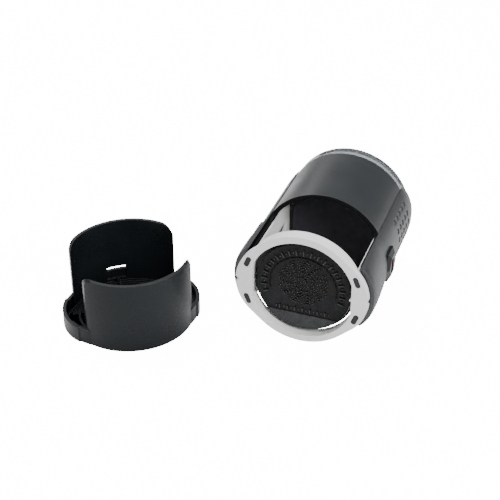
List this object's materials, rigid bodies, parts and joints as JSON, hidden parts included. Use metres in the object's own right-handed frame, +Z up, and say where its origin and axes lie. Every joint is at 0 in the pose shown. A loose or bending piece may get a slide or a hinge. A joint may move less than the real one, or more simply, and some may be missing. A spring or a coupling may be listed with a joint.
{
  "type": "round self-inking seal stamp",
  "caption": "Round self-inking seal stamp lying on its side, pressed and locked, with a clear top window, side grips, lock buttons and its loose open dust cap standing beside it.",
  "frame": {"origin": "middle of the underside of the whole set, on the surface it lies on", "axes": "+Z up, -Y the way the stamp's ring face looks, +X from the dust cap towards the stamp"},
  "size_m": [0.1309, 0.1058, 0.0536],
  "materials": {
    "white_plastic": "satin",
    "black_plastic": "satin",
    "gloss_black": "gloss",
    "cap_plastic": "satin",
    "tray_plastic": "satin",
    "red_plastic": "gloss",
    "foot_rubber": "matte",
    "die_rubber": "satin",
    "felt": "matte",
    "foam_tape": "matte",
    "card": "matte",
    "clear_plastic": "gloss",
    "spring_steel": "satin",
    "yoke_steel": "satin"
  },
  "bodies": {
    "frame": {"base_ring": "white_plastic", "rubber_feet": "foot_rubber", "inner_frame": "white_plastic", "ink_tray": "tray_plastic", "ink_pad": "felt"},
    "housing": {"housing_shell": "black_plastic", "side_grip_left": "black_plastic", "side_grip_right": "black_plastic", "button_bezel_left": "gloss_black", "button_bezel_right": "gloss_black", "button_spring_left": "spring_steel", "button_spring_right": "spring_steel", "die_bridge": "yoke_steel", "return_spring": "spring_steel", "index_card": "card"},
    "die": {"die_carrier": "tray_plastic", "die_axle_left": "yoke_steel", "die_axle_right": "yoke_steel", "mounting_tape": "foam_tape", "rubber_die": "die_rubber"},
    "button_left": {"lock_button_left": "red_plastic"},
    "button_right": {"lock_button_right": "red_plastic"},
    "window": {"top_window": "clear_plastic"},
    "cap": {"dust_cap": "cap_plastic"}
  },
  "joints": [
    {"name": "housing_slide", "type": "slide", "parent": "frame", "child": "housing", "axis": [0, 1, 0], "range_m": [0, 0.037], "deforming": ["return_spring", "ink_pad"]},
    {"name": "die_turn", "type": "hinge", "parent": "housing", "child": "die", "pos_m": [0.03529, -0.01537, 0.0268], "axis": [1, 0, 0], "range_deg": [0, 180]},
    {"name": "left_button_press", "type": "slide", "parent": "housing", "child": "button_left", "axis": [1, 0, 0], "range_m": [0, 0.0015], "stiffness_N_per_m": 800, "springref_m": -0.001, "deforming": ["button_spring_left"]},
    {"name": "right_button_press", "type": "slide", "parent": "housing", "child": "button_right", "axis": [-1, 0, 0], "range_m": [0, 0.0015], "stiffness_N_per_m": 800, "springref_m": -0.001, "deforming": ["button_spring_right"]},
    {"name": "window_lift", "type": "slide", "parent": "housing", "child": "window", "axis": [0, 1, 0], "range_m": [0, 0.008]},
    {"name": "cap_lift", "type": "slide", "parent": "frame", "child": "cap", "axis": [0, 0, 1], "range_m": [0, 0.045]}
  ],
  "couplings": [
    {"joint": "die_turn", "follows": "housing_slide", "rad_per_m": 84.9}
  ]
}
